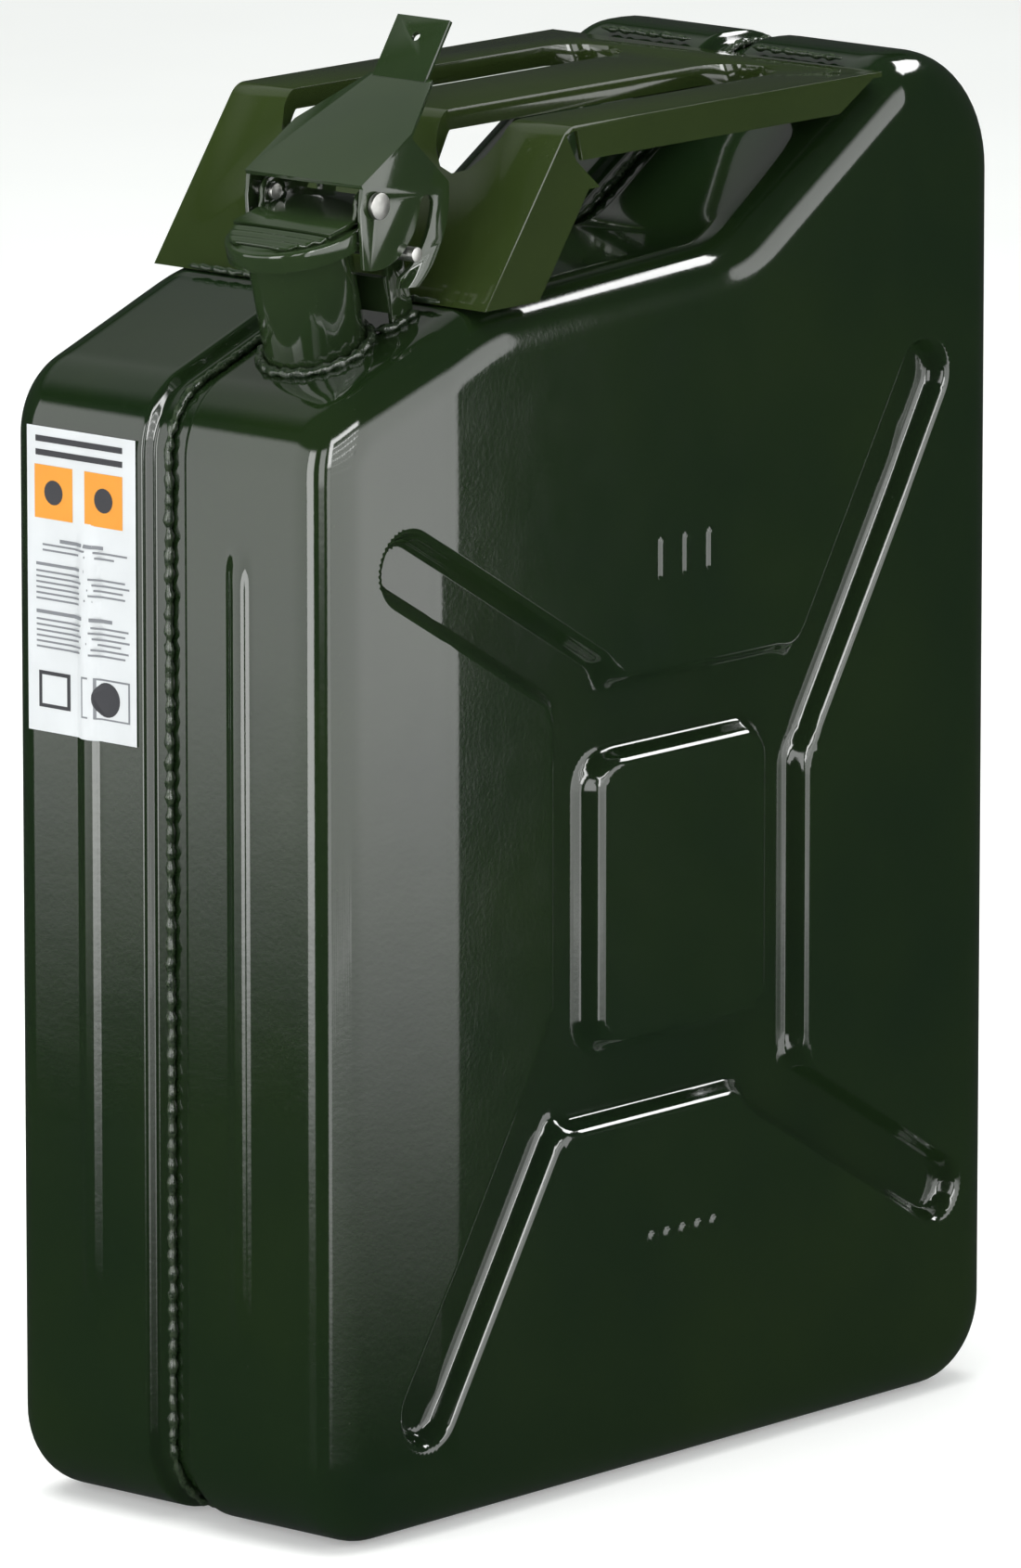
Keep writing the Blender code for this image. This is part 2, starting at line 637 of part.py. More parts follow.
combine(lever, [cylinder("lever_bore", STUD_RADIUS + PIN_CLEARANCE, (PIVOT[0], -0.03, PIVOT[1]),
                         (PIVOT[0], 0.03, PIVOT[1]), 20),
                cylinder("tab_bore", TAB_HOLE, (tab_middle[0] + 0.005, 0, tab_middle[1] - 0.008),
                         (tab_middle[0] - 0.005, 0, tab_middle[1] + 0.008), 12)], "DIFFERENCE")
attach(lever, lever_axis, PIVOT)


def lever_rivet(name, side):
    """Rivet that joins an ear of the yoke to a cheek of the lever."""
    inside = YOKE_HALF - YOKE_SHEET - GAP
    outside = LEVER_HALF + GAP
    made = cylinder(name, STUD_RADIUS, (PIVOT[0], side * (inside - 0.001), PIVOT[1]),
                    (PIVOT[0], side * (outside + 0.001), PIVOT[1]), 20, BARE_STEEL)
    heads = [cylinder(name + "_inner_head", RIVET_SHANK_END, (PIVOT[0], side * (inside - 0.0016), PIVOT[1]),
                      (PIVOT[0], side * inside, PIVOT[1]), 20),
             cylinder(name + "_outer_head", RIVET_HEAD, (PIVOT[0], side * outside, PIVOT[1]),
                      (PIVOT[0], side * (outside + 0.0018), PIVOT[1]), 20)]
    return attach(smooth(combine(made, heads, "UNION")), lid_axis, HINGE)


lever_rivet("lever_rivet_left", -1)
lever_rivet("lever_rivet_right", 1)


# ---------------------------------------------------------------- breather tube
def breather_path():
    """Air pipe from inside the neck, under the valley, up into the hump."""
    through = [neck_point(NECK_RADIUS - NECK_WALL - BREATHER_RADIUS - 0.0015, 0, 0.020),
               neck_point(NECK_RADIUS - NECK_WALL - BREATHER_RADIUS - 0.0015, 0, 0.002),
               neck_point(0.014, 0, -0.016), neck_point(0.030, 0.002, -0.026),
               (body_x(0.120), NECK_Y + 0.004, 0.396), (body_x(0.180), NECK_Y + 0.006, 0.398),
               (body_x(0.225), NECK_Y + 0.006, 0.410), (body_x(0.270), NECK_Y + 0.004, 0.436),
               (body_x(0.296), NECK_Y, 0.455)]
    points = []
    for i in range(len(through) - 1):
        p = [Vector(through[max(0, min(len(through) - 1, i + k))]) for k in (-1, 0, 1, 2)]
        for k in range(4):
            t = k / 4
            points.append(0.5 * ((2 * p[1]) + (p[2] - p[0]) * t
                                 + (2 * p[0] - 5 * p[1] + 4 * p[2] - p[3]) * t * t
                                 + (3 * p[1] - p[0] - 3 * p[2] + p[3]) * t * t * t))
    return points + [Vector(through[-1])]


as_mesh(tube_loop("breather_tube", breather_path(), BREATHER_RADIUS, 1, BARE_STEEL, closed=False))


# ---------------------------------------------------------------- handle
FOOT_Z = shoulder_height(HANDLE_FOOT_U) + GAP
SLOPE = Vector((HANDLE_BEND_U - HANDLE_FOOT_U, HANDLE_TOP - FOOT_Z)).normalized()
SLOPE_ANGLE = math.atan2(SLOPE.y, SLOPE.x)
HUMP_RISE = (HUMP_FRONT[1] - VALLEY_END[1]) / (HUMP_FRONT[0] - VALLEY_END[0])
REAR_U = VALLEY_END[0] + (HANDLE_TOP - HANDLE_SHEET - VALLEY_END[1]) / HUMP_RISE - 2 * GAP
EMBED = 0.0005            # how far lips and flanges start inside the sheet


def handle_line(depth, steps=6):
    """Side line of the pressing that far under its outer face, from foot to rear."""
    foot = (body_x(HANDLE_FOOT_U) + depth / math.sin(SLOPE_ANGLE), FOOT_Z)
    bend = (body_x(HANDLE_BEND_U) + depth * math.tan(SLOPE_ANGLE / 2), HANDLE_TOP - depth)
    rear = (body_x(REAR_U), HANDLE_TOP - depth)
    radius = HANDLE_BEND_RADIUS - depth
    if radius < 0.001:
        return [foot, bend, rear]
    reach = radius * math.tan(SLOPE_ANGLE / 2)
    centre = (bend[0] + reach, bend[1] - radius)
    round_part = arc(centre, radius, 90 + math.degrees(SLOPE_ANGLE), 90, steps)
    return [foot] + round_part + [rear]


def handle_band(name, shallow, deep, low, high, finish=None):
    """Bent strip between two depths under the outer face, from y = low to y = high."""
    return plate(name, handle_line(shallow) + handle_line(deep)[::-1], low, high, finish)


handle = handle_band("handle", 0.0, HANDLE_SHEET, -HANDLE_HALF, HANDLE_HALF, ENAMEL)


def slot_prism(name, side, grow):
    centre = side * SLOT_OFFSET
    start, end = (body_x(SLOT_FRONT_U) + SLOT_HALF, centre), (body_x(SLOT_REAR_U) - SLOT_HALF, centre)
    outline = stadium(start, end, SLOT_HALF + grow, 8)
    return loft(name, [[(x, y, z) for x, y in outline] for z in (0.38, 0.50)])


lips = []
slots = []
flanges = []
for side, word in ((-1, "left"), (1, "right")):
    lip = handle_band("slot_lip_" + word, EMBED, LIP_DEPTH, -HANDLE_HALF, HANDLE_HALF)
    lips.append(combine(lip, [slot_prism("slot_outside_" + word, side, HANDLE_SHEET)], "INTERSECT"))
    slots.append(slot_prism("slot_" + word, side, 0.0))
    edges = sorted((side * (HANDLE_HALF - HANDLE_SHEET), side * (HANDLE_HALF - 0.0001)))
    front = handle_band("front_flange_" + word, EMBED, FRONT_FLANGE, *edges)
    notch_u = HANDLE_BEND_U + NOTCH_HALF
    front_area = [(body_x(HANDLE_FOOT_U) - 0.01, FOOT_Z - 0.001),
                  (body_x(HANDLE_FOOT_U) + 0.10, FOOT_Z - 0.001),
                  (body_x(notch_u), HANDLE_TOP - TOP_FLANGE), (body_x(notch_u) - 0.006, HANDLE_TOP - 0.0015),
                  (body_x(HANDLE_FOOT_U) - 0.01, HANDLE_TOP - 0.0015)]
    combine(front, [plate("front_flange_area_" + word, front_area, -0.1, 0.1)], "INTERSECT")
    top_area = [(body_x(notch_u), HANDLE_TOP - EMBED),
                (body_x(notch_u) + 0.003, HANDLE_TOP - TOP_FLANGE),
                (body_x(REAR_U) - 0.022, HANDLE_TOP - TOP_FLANGE),
                (body_x(REAR_U) - 0.002, HANDLE_TOP - EMBED)]
    flanges.append(front)
    flanges.append(plate("top_flange_" + word, top_area, *edges))

combine(handle, lips + flanges, "UNION")
combine(handle, slots, "DIFFERENCE")
handle.data.materials.clear()
handle.data.materials.append(ENAMEL)
smooth(handle)

BEAD = 0.0012


def bead(name, start, end):
    return smooth(cylinder(name, BEAD, start, end, 8, ENAMEL))


# rear beads where the handle meets the hump, one on each half shell
rear_x = body_x(REAR_U) + 2.4 * BEAD
rear_z = HANDLE_TOP + 1.1 * BEAD + GAP + 0.0006
for word, low, high in (("left", -0.054, -0.014), ("right", 0.014, 0.054)):
    bead("handle_rear_weld_" + word, (rear_x, low, rear_z), (rear_x, high, rear_z))

# front beads along the foot of the handle
foot_x = body_x(HANDLE_FOOT_U) - 1.5 * BEAD - GAP
foot_z = FOOT_Z + 0.0004 + BEAD
bead("handle_foot_weld_left", (foot_x, -0.056, foot_z), (foot_x, -0.020, foot_z))
bead("handle_foot_weld_right", (foot_x, 0.020, foot_z), (foot_x, 0.056, foot_z))


# ---------------------------------------------------------------- label
def label_prism(name, grow):
    """Front face and far rib, fatter by grow, clipped to the label's rectangle."""
    front = body_x(0)
    made = box(name, (front - grow, LABEL_Y[0], LABEL_Z[0]), (front + 0.003, LABEL_Y[1], LABEL_Z[1]))
    rib = rib_solid(name + "_rib", 1, grow)
    clip = box(name + "_clip", (front - 0.01, LABEL_Y[0], LABEL_Z[0]), (front + 0.01, LABEL_Y[1], LABEL_Z[1]))
    combine(rib, [clip], "INTERSECT")
    return combine(made, [rib], "UNION")


label = label_prism("label", GAP + LABEL_THICKNESS)
backing_block = box("label_block", (body_x(0) - GAP, LABEL_Y[0] - 0.01, LABEL_Z[0] - 0.01),
                    (body_x(0) + 0.01, LABEL_Y[1] + 0.01, LABEL_Z[1] + 0.01))
wide_rib = rib_solid("label_rib_space", 1, GAP)
combine(label, [backing_block, wide_rib], "DIFFERENCE")
cutters.objects.unlink(label)
parts.objects.link(label)
label.hide_render = False
label.display_type = "TEXTURED"
label.data.materials.clear()
label.data.materials.append(PAPER)
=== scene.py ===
import math

import bmesh
import bpy
import numpy as np
from mathutils import Matrix, Vector, noise
from mathutils.geometry import delaunay_2d_cdt


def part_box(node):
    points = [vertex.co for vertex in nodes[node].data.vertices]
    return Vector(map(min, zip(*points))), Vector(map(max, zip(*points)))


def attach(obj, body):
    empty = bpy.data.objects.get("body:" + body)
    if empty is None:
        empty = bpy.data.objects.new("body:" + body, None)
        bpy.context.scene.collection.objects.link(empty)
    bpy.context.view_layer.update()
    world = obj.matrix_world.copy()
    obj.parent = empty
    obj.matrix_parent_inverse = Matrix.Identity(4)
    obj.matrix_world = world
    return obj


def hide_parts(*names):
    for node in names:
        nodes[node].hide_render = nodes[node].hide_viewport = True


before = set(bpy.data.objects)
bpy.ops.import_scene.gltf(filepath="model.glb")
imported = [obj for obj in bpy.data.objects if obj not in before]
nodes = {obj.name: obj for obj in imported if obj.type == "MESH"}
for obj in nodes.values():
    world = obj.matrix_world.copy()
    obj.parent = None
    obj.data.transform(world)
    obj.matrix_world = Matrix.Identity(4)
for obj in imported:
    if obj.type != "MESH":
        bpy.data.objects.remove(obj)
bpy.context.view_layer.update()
MM = 0.001


# ------------------------------------------------------------ materials
class Graph:
    """Short way to write a node material."""

    def __init__(self, name):
        self.material = bpy.data.materials.new(name)
        self.material.use_nodes = True
        self.tree = self.material.node_tree
        self.shader = self.tree.nodes["Principled BSDF"]
        self.coord = self.tree.nodes.new("ShaderNodeTexCoord").outputs["Object"]

    def node(self, kind, inputs=None, **settings):
        made = self.tree.nodes.new(kind)
        for key, value in settings.items():
            setattr(made, key, value)
        for key, value in (inputs or {}).items():
            socket = made.inputs[key]
            if isinstance(value, bpy.types.NodeSocket):
                self.tree.links.new(value, socket)
            else:
                socket.default_value = value
        return made

    def noise(self, scale, detail=3.0, rough=0.55, stretch=None):
        vector = self.coord
        if stretch:
            vector = self.node("ShaderNodeMapping", {"Vector": vector, "Scale": stretch}).outputs["Vector"]
        return self.node("ShaderNodeTexNoise", {"Vector": vector, "Scale": scale, "Detail": detail,
                                                "Roughness": rough}).outputs["Fac"]

    def ramp(self, fac, *stops):
        made = self.node("ShaderNodeValToRGB", {"Fac": fac})
        elements = made.color_ramp.elements
        while len(elements) < len(stops):
            elements.new(0.5)
        for element, (place, colour) in zip(elements, stops):
            element.position = place
            element.color = colour if len(colour) == 4 else (*colour, 1.0)
        return made.outputs["Color"]

    def level(self, fac, low, high):
        return self.node("ShaderNodeMapRange", {"Value": fac, "To Min": low, "To Max": high}).outputs["Result"]

    def bump(self, height, strength, distance, onto=None):
        made = self.node("ShaderNodeBump", {"Height": height, "Strength": strength, "Distance": distance})
        if onto:
            self.tree.links.new(onto, made.inputs["Normal"])
        return made.outputs["Normal"]

    def set(self, **inputs):
        for key, value in inputs.items():
            socket = self.shader.inputs[key.replace("_", " ")]
            if isinstance(value, bpy.types.NodeSocket):
                self.tree.links.new(value, socket)
            else:
                socket.default_value = value
        return self.material


def enamel(name, dark, light, rough, grime=0.0):
    """Thick glossy enamel over sheet steel: soft colour drift, orange peel, faint dents and dust."""
    g = Graph(name)
    drift = g.noise(9.0, 4.0)
    colour = g.ramp(drift, (0.30, dark), (0.72, light))
    speck = g.noise(1400.0, 1.0)
    mask = g.ramp(speck, (0.72, (0, 0, 0)), (0.80, (1, 1, 1)))
    dust = g.node("ShaderNodeMix", {"Factor": g.level(mask, 0.0, 0.12), "A": colour,
                                    "B": (0.20, 0.21, 0.17, 1.0)}, data_type="RGBA")
    peel = g.bump(g.noise(520.0, 2.0), 0.05, 0.0004)
    waves = g.bump(g.noise(26.0, 2.0), 0.06, 0.0018, onto=peel)
    return g.set(Base_Color=dust.outputs["Result"], Roughness=g.level(g.noise(55.0, 5.0), rough, rough + 0.06),
                 Normal=waves, IOR=1.5, Coat_Weight=0.8, Coat_Roughness=0.025)


OLIVE_DARK = (0.0060, 0.0150, 0.0056)
OLIVE_LIGHT = (0.0105, 0.0215, 0.0060)
# The handle uses the body's enamel made lighter. This is painted light: the brighter colour stands in for the
# overhead light on the top.
LIT_TOP_DARK = (0.0200, 0.0330, 0.0080)
LIT_TOP_LIGHT = (0.0310, 0.0480, 0.0120)
BODY_ENAMEL = enamel("body_enamel", OLIVE_DARK, OLIVE_LIGHT, 0.07)
LIT_TOP_ENAMEL = enamel("handle_enamel", LIT_TOP_DARK, LIT_TOP_LIGHT, 0.09)
CAP_ENAMEL = enamel("closure_enamel", (0.013, 0.026, 0.011), (0.023, 0.040, 0.014), 0.08)


def weld_enamel():
    """Enamel over a rough bead: lumpy, thin on the crests."""
    g = Graph("weld_enamel")
    lumps = g.noise(620.0, 4.0)
    colour = g.ramp(lumps, (0.35, (0.010, 0.022, 0.009)), (0.70, (0.040, 0.056, 0.030)))
    fine = g.bump(lumps, 0.55, 0.0006)
    return g.set(Base_Color=colour, Roughness=g.level(g.noise(300.0), 0.12, 0.32), Normal=fine, IOR=1.5,
                 Coat_Weight=0.6, Coat_Roughness=0.06)


WELD_ENAMEL = weld_enamel()


def worn_steel(name, tint, rough):
    g = Graph(name)
    streaks = g.noise(180.0, 4.0, stretch=(1.0, 6.0, 1.0))
    colour = g.ramp(streaks, (0.30, tuple(0.62 * c for c in tint)), (0.70, tint))
    return g.set(Base_Color=colour, Metallic=1.0, Roughness=g.level(g.noise(90.0, 5.0), rough, rough + 0.22),
                 Normal=g.bump(streaks, 0.15, 0.0003))


ZINC = worn_steel("zinc_plated_steel", (0.62, 0.62, 0.59), 0.22)
TIN = worn_steel("tinned_steel", (0.55, 0.54, 0.50), 0.30)


def rubber():
    g = Graph("gasket_rubber")
    grain = g.noise(700.0, 3.0)
    colour = g.ramp(grain, (0.35, (0.012, 0.012, 0.012)), (0.75, (0.034, 0.033, 0.031)))
    return g.set(Base_Color=colour, Roughness=g.level(grain, 0.60, 0.80), Normal=g.bump(grain, 0.3, 0.0002))


RUBBER = rubber()


def print_film(name, colour, rough=0.34):
    g = Graph(name)
    fibre = g.noise(900.0, 3.0)
    drift = g.noise(40.0, 3.0)
    shade = g.ramp(drift, (0.25, tuple(0.90 * c for c in colour)), (0.75, colour))
    return g.set(Base_Color=shade, Roughness=g.level(fibre, rough, rough + 0.12),
                 Normal=g.bump(fibre, 0.08, 0.0001))


LABEL_WHITE = print_film("label_white", (0.66, 0.68, 0.70))
LABEL_ORANGE = print_film("label_orange", (0.78, 0.30, 0.018))
LABEL_INK = print_film("label_ink", (0.035, 0.036, 0.042), 0.42)
LABEL_GREY = print_film("label_grey", (0.20, 0.21, 0.23), 0.42)


def add(name, verts, faces, material, body="can", smooth=True):
    mesh = bpy.data.meshes.new(name)
    mesh.from_pydata([tuple(map(float, v)) for v in verts], [], [tuple(map(int, f)) for f in faces])
    mesh.validate()
    mesh.materials.append(material)
    made = bpy.data.objects.new(name, mesh)
    bpy.context.scene.collection.objects.link(made)
    if smooth:
        mesh.shade_smooth()
    if body:
        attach(made, body)
    return made


# ------------------------------------------------------------ body outline, as the CAD's
L, T, H = 345.0, 150.0, 470.0
CORNERS = [(0, 0, 30), (L, 0, 30), (L, H, 44), (288, H, 25), (205, 418, 45), (80, 411, 80), (0, 382, 28)]
EDGE_R = 17.0
CH_HALF, CH_DEPTH, CH_WALL = 10.0, 4.0, 3.5


def outline(inset, steps=14, spacing=2.6):
    """Fine outline (mm, front distance and height), the same point count for every inset."""
    n = len(CORNERS)
    base, arcs = [], []
    for i, (u, z, r) in enumerate(CORNERS):
        here = Vector((u, z))
        before, after = Vector(CORNERS[i - 1][:2]), Vector(CORNERS[(i + 1) % n][:2])
        d0, d1 = (here - before).normalized(), (after - here).normalized()
        turn = math.atan2(d0.cross(d1), d0.dot(d1))
        inward = (Vector((-d0.y, d0.x)) + Vector((-d1.y, d1.x))).normalized()
        for values, shift in ((base, 0.0), (arcs, inset)):
            vertex = here + inward * (shift / math.cos(turn / 2))
            bend = max(r - math.copysign(shift, turn), 0.8)
            reach = bend * abs(math.tan(turn / 2))
            side = math.copysign(1.0, turn)
            start = vertex - d0 * reach
            centre = start + Vector((-d0.y, d0.x)) * bend * side
            spoke = start - centre
            row = []
            for k in range(steps + 1):
                s = turn * k / steps
                row.append((centre.x + spoke.x * math.cos(s) - spoke.y * math.sin(s),
                            centre.y + spoke.x * math.sin(s) + spoke.y * math.cos(s)))
            values.append(row)
    points = []
    for i in range(n):
        points += arcs[i]
        a0, b0 = Vector(base[i][-1]), Vector(base[(i + 1) % n][0])
        a, b = Vector(arcs[i][-1]), Vector(arcs[(i + 1) % n][0])
        count = max(1, int((b0 - a0).length / spacing))
        points += [tuple(a.lerp(b, k / count)) for k in range(1, count)]
    return np.array(points)


def sstep(t):
    t = np.clip(t, 0.0, 1.0)
    return t * t * t * (t * (6 * t - 15) + 10)


def sd_box(u, z, cu, cz, hu, hz, r):
    qu, qz = np.abs(u - cu) - hu + r, np.abs(z - cz) - hz + r
    return np.hypot(np.maximum(qu, 0), np.maximum(qz, 0)) + np.minimum(np.maximum(qu, qz), 0) - r


def sd_arm(u, z, a, b, half):
    a, b = np.array(a, float), np.array(b, float)
    d = b - a
    t = np.clip(((u - a[0]) * d[0] + (z - a[1]) * d[1]) / (d @ d), 0, 1)
    return np.hypot(u - a[0] - t * d[0], z - a[1] - t * d[1]) - half


def smin(a, b, k):
    h = np.clip(0.5 + 0.5 * (b - a) / k, 0, 1)
    return b * (1 - h) + a * h - k * h * (1 - h)


PC = (175.0, 201.0)
ARMS = [((-47, 75), (-136, 127.5)), ((60, 50), (127, 158))]
DEPTH = 7.0
ARM_HALF = 13.5
RING = (66, 77, 16)               # half sizes and corner radius
PAD = (49, 53, 14)
WALL_LOWS = (-8.5, -12.0)         # where the walls of the ring and the pad end, inside their outlines


def marks(u, z):
    """Raised generic marks: three plain bars over the pattern, a row of pips under it."""
    lift = np.zeros_like(u)
    for k in range(3):
        lift = np.maximum(lift, sstep(1.2 - (sd_box(u, z, 164.5 + 12.5 * k, 315.0, 1.1, 6.5, 1.0) + 0.6) / 1.3))
    for k in range(5):
        lift = np.maximum(lift, sstep(1.2 - (np.hypot(u - (161.0 + 8.0 * k), z - 82.0) - 1.5) / 1.3))
    return lift


def face_height(u, z):
    """How far the broad face stands in from its plane, in mm (positive is inwards)."""
    s = sd_box(u, z, PC[0], PC[1], *RING)
    for turn in (1, -1):
        for a, b in ARMS:
            arm = sd_arm(u, z, (PC[0] + turn * a[0], PC[1] + turn * a[1]),
                         (PC[0] + turn * b[0], PC[1] + turn * b[1]), ARM_HALF)
            s = smin(s, arm, 9.0)
    well = sstep(-(s - 0.8) / 7.2)
    pad = sd_box(u, z, PC[0], PC[1], *PAD)
    left = np.clip((PC[0] - u) / 49.0, 0, 1)
    wall = 7.5 + 4.0 * sstep((left - 0.55) / 0.4)
    well = well * (1 - sstep(-(pad - 0.5) / wall))
    tilt = 1.35 * sstep((63.0 - u) / 9.0) * np.clip((66.0 - u) / 49.0, 0, 1)
    tilt = tilt + 0.9 * sstep((u - 290.0) / 9.0) * np.clip((u - 287.0) / 41.0, 0, 1)
    crown = 0.9 * (1 - np.exp(-(((u - PC[0]) / 150.0) ** 4 + ((z - 225.0) / 205.0) ** 4)))
    return DEPTH * well + tilt + crown - 0.55 * marks(u, z)


def arm_ends():
    for turn in (1, -1):
        for a, b in ARMS:
            yield (PC[0] + turn * a[0], PC[1] + turn * a[1]), (PC[0] + turn * b[0], PC[1] + turn * b[1])


def pattern_free(u, z):
    """Where the plain grid is used: away from the sloping walls of the pattern."""
    free = np.ones(u.shape, bool)
    for a, b in arm_ends():
        s = sd_arm(u, z, a, b, ARM_HALF)
        free &= (s > 2.4) | (s < -13.6)
    for (half_u, half_z, r), low in zip((RING, PAD), WALL_LOWS):
        s = sd_box(u, z, PC[0], PC[1], half_u, half_z, r)
        free &= (s > 1.9) | (s < low)
    return free


def press_points():
    """Mesh points on rows that follow the walls of the pattern."""
    found = []
    for a, b in arm_ends():
        a, b = np.array(a), np.array(b)
        d = (b - a) / np.linalg.norm(b - a)
        side = np.array([-d[1], d[0]])
        for s in [1.6, 0.8, 0.0] + [-0.9 * k for k in range(1, 10)] + [-10.0, -12.2]:
            r = ARM_HALF + s
            n = int(np.linalg.norm(b - a) / 1.9)
            for k in range(n + 1):
                p = a + (b - a) * k / n
                found += [p + side * r, p - side * r]
            for centre, sign in ((b, 1), (a, -1)):
                m = max(3, int(math.pi * r / 1.9))
                for k in range(1, m):
                    t = math.pi * k / m - math.pi / 2
                    found.append(centre + sign * (d * math.cos(t) + side * math.sin(t)) * r)
        found += [a + (b - a) * k / 40 for k in range(41)]
    for (half_u, half_z, r0), low in zip((RING, PAD), WALL_LOWS):
        for s in np.arange(1.6, low, -0.85):
            hu, hz, r = half_u + s, half_z + s, max(r0 + s, 0.8)
            for su in (1, -1):
                n = int(2 * (hz - r) / 1.9)
                found += [np.array((PC[0] + su * hu, PC[1] - (hz - r) + 2 * (hz - r) * k / n))
                          for k in range(n + 1)]
                n = int(2 * (hu - r) / 1.9)
                found += [np.array((PC[0] - (hu - r) + 2 * (hu - r) * k / n, PC[1] + su * hz))
                          for k in range(n + 1)]
                for sz in (1, -1):
                    m = max(2, int(math.pi / 2 * r / 1.9))
                    for k in range(1, m):
                        t = math.pi / 2 * k / m
                        found.append(np.array((PC[0] + su * (hu - r + r * math.cos(t)),
                                               PC[1] + sz * (hz - r + r * math.sin(t)))))
    kept, cells = [], {}
    for p in found:
        key = (int(p[0] // 0.62), int(p[1] // 0.62))
        around = [(key[0] + i, key[1] + j) for i in (-1, 0, 1) for j in (-1, 0, 1)]
        near = [cells[k] for k in around if k in cells]
        if all((p[0] - c[0]) ** 2 + (p[1] - c[1]) ** 2 > 0.38 for c in near):
            cells[key] = p
            kept.append(p)
    return np.array(kept)


RIB_Y, RIB_LOW, RIB_HIGH = 33.5, 60.0, 338.0


def rib_lift(y, z):
    """Raised rib of the narrow front face, mm."""
    taper = sstep((z - RIB_LOW) / 26.0) * sstep((RIB_HIGH - z) / 14.0)
    return 1.8 * taper * sstep(1.0 - (np.abs(np.abs(y) - RIB_Y) - 1.0) / 4.8)


def channel(y):
    return CH_DEPTH * sstep((CH_HALF + 0.4 - np.abs(y)) / (CH_WALL + 1.0))


# foot and axis of the neck, as the CAD's
SHOULDER = math.atan2(411 - 382, 80)
TILT = math.radians(14.0)
NECK_FOOT = Vector((41.0 - L / 2, -31.0, 382 + 41 * math.tan(SHOULDER))) * MM
NECK_DIR = Vector((-math.sin(TILT), 0, math.cos(TILT)))
NECK_SIDE = Vector((math.cos(TILT), 0, math.sin(TILT)))


def neck_at(along, across, up):
    """Neck-frame mm to the row frame, metres."""
    return NECK_FOOT + (NECK_SIDE * along + Vector((0, 1, 0)) * across + NECK_DIR * up) * MM


